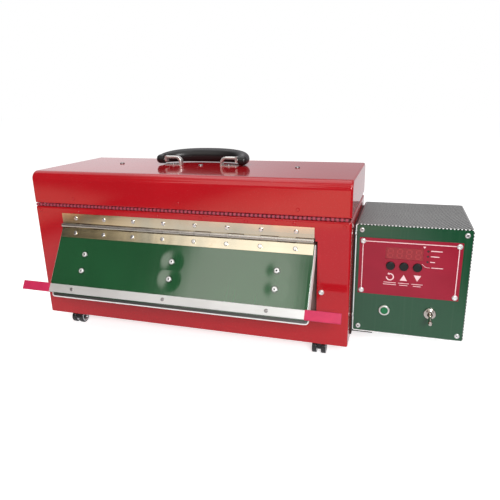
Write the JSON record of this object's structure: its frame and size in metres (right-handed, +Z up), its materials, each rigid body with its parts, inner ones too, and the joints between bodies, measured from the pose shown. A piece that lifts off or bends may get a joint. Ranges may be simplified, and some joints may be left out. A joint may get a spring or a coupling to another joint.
{
  "type": "bead annealing kiln",
  "caption": "Wide red sheet-metal kiln on casters with a lid, a full-width green bead door on a piano hinge, a folding handle and a control box at its right end.",
  "frame": {"origin": "centre of the bottom of the whole object's bounding box, on the floor under the wheels", "axes": "+X to the right along the front, +Y to the back, +Z up"},
  "size_m": [0.667, 0.2618, 0.2894],
  "materials": {
    "red_paint": "gloss",
    "green_paint": "satin",
    "grey_sheet": "satin",
    "hinge_brass": "satin",
    "steel": "satin",
    "zinc": "polished",
    "bright_chrome": "polished",
    "bar_aluminium": "satin",
    "black_plastic": "satin",
    "wheel_plastic": "matte",
    "firebrick": "matte",
    "fibre_board": "matte",
    "seal_cord": "matte",
    "element_wire": "matte",
    "white_ceramic": "gloss",
    "sleeve_vinyl": "satin",
    "overlay_plastic": "gloss",
    "display_lens": "gloss",
    "lamp_lens": "gloss",
    "key_rubber": "satin",
    "button_green": "gloss",
    "board_laminate": "satin",
    "relay_case": "gloss",
    "transformer_steel": "satin",
    "switch_plastic": "satin"
  },
  "bodies": {
    "kiln_body": {"body_shell": "red_paint", "base_pan": "red_paint", "hearth_slab": "firebrick", "front_wall_brick": "firebrick", "rear_wall_brick": "firebrick", "end_wall_bricks": "firebrick", "heating_element": "element_wire", "terminal_bushings": "white_ceramic", "thermocouple": "steel", "body_rivets": "red_paint", "column_screws": "zinc", "caster_brackets": "black_plastic", "caster_screws": "zinc", "door_hinge_upper_leaf": "hinge_brass", "door_hinge_pin": "steel", "upper_leaf_rivets": "zinc", "lid_hinge_body_leaf": "red_paint", "lid_hinge_pin": "steel", "box_bracket": "red_paint", "box_cover": "grey_sheet", "box_front_panel": "green_paint", "box_back_panel": "green_paint", "box_screws": "zinc", "control_overlay": "overlay_plastic", "overlay_screws": "zinc", "display_window": "display_lens", "indicator_lamps": "lamp_lens", "controller_board": "board_laminate", "relay": "relay_case", "transformer": "transformer_steel", "power_inlet": "switch_plastic", "button_bezel": "bright_chrome", "button_contact_block": "switch_plastic", "toggle_nut": "bright_chrome", "toggle_body": "switch_plastic"},
    "lid": {"lid_shell": "red_paint", "lid_brick": "firebrick", "lid_hinge_lid_leaf": "red_paint", "lid_rivets": "red_paint", "lid_screws": "zinc", "handle_brackets": "bright_chrome"},
    "handle": {"handle_grip": "black_plastic"},
    "bead_door": {"door_pan": "green_paint", "door_plug": "fibre_board", "door_screws": "zinc", "door_seal": "seal_cord", "door_hinge_lower_leaf": "hinge_brass", "lower_leaf_rivets": "zinc", "door_bar": "bar_aluminium", "bar_screws": "zinc", "grip_sleeves": "sleeve_vinyl"},
    "cycle_key_body": {"cycle_key": "key_rubber"},
    "up_key_body": {"up_key": "key_rubber"},
    "down_key_body": {"down_key": "key_rubber"},
    "start_button_body": {"start_button": "button_green"},
    "toggle_lever_body": {"toggle_lever": "bright_chrome"},
    "wheels_front_left_body": {"wheels_front_left": "wheel_plastic"},
    "wheels_front_right_body": {"wheels_front_right": "wheel_plastic"},
    "wheels_rear_left_body": {"wheels_rear_left": "wheel_plastic"},
    "wheels_rear_right_body": {"wheels_rear_right": "wheel_plastic"}
  },
  "joints": [
    {"name": "lid_hinge", "type": "hinge", "parent": "kiln_body", "child": "lid", "pos_m": [-0.0795, -0.0727, 0.212], "axis": [1, 0, 0], "range_deg": [0, 95]},
    {"name": "handle_hinge", "type": "hinge", "parent": "lid", "child": "handle", "pos_m": [-0.0875, 0.0395, 0.2744], "axis": [1, 0, 0], "range_deg": [0, 165]},
    {"name": "door_hinge", "type": "hinge", "parent": "kiln_body", "child": "bead_door", "pos_m": [-0.0795, -0.0766, 0.1808], "axis": [-1, 0, 0], "range_deg": [-29.3, 70]},
    {"name": "cycle_key_press", "type": "slide", "parent": "kiln_body", "child": "cycle_key_body", "axis": [0, 1, 0], "range_m": [0, 0.0008], "stiffness_N_per_m": 500},
    {"name": "up_key_press", "type": "slide", "parent": "kiln_body", "child": "up_key_body", "axis": [0, 1, 0], "range_m": [0, 0.0008], "stiffness_N_per_m": 500},
    {"name": "down_key_press", "type": "slide", "parent": "kiln_body", "child": "down_key_body", "axis": [0, 1, 0], "range_m": [0, 0.0008], "stiffness_N_per_m": 500},
    {"name": "start_button_press", "type": "slide", "parent": "kiln_body", "child": "start_button_body", "axis": [0, 1, 0], "range_m": [0, 0.0016], "stiffness_N_per_m": 700},
    {"name": "toggle_flip", "type": "hinge", "parent": "kiln_body", "child": "toggle_lever_body", "pos_m": [0.2857, -0.0305, 0.0695], "axis": [-1, 0, 0], "range_deg": [0, 28]},
    {"name": "wheels_front_left_roll", "type": "hinge", "parent": "kiln_body", "child": "wheels_front_left_body", "pos_m": [-0.2905, -0.0545, 0.01], "axis": [1, 0, 0], "continuous": true},
    {"name": "wheels_front_right_roll", "type": "hinge", "parent": "kiln_body", "child": "wheels_front_right_body", "pos_m": [0.1315, -0.0545, 0.01], "axis": [1, 0, 0], "continuous": true},
    {"name": "wheels_rear_left_roll", "type": "hinge", "parent": "kiln_body", "child": "wheels_rear_left_body", "pos_m": [-0.2905, 0.1075, 0.01], "axis": [1, 0, 0], "continuous": true},
    {"name": "wheels_rear_right_roll", "type": "hinge", "parent": "kiln_body", "child": "wheels_rear_right_body", "pos_m": [0.1315, 0.1075, 0.01], "axis": [1, 0, 0], "continuous": true}
  ]
}
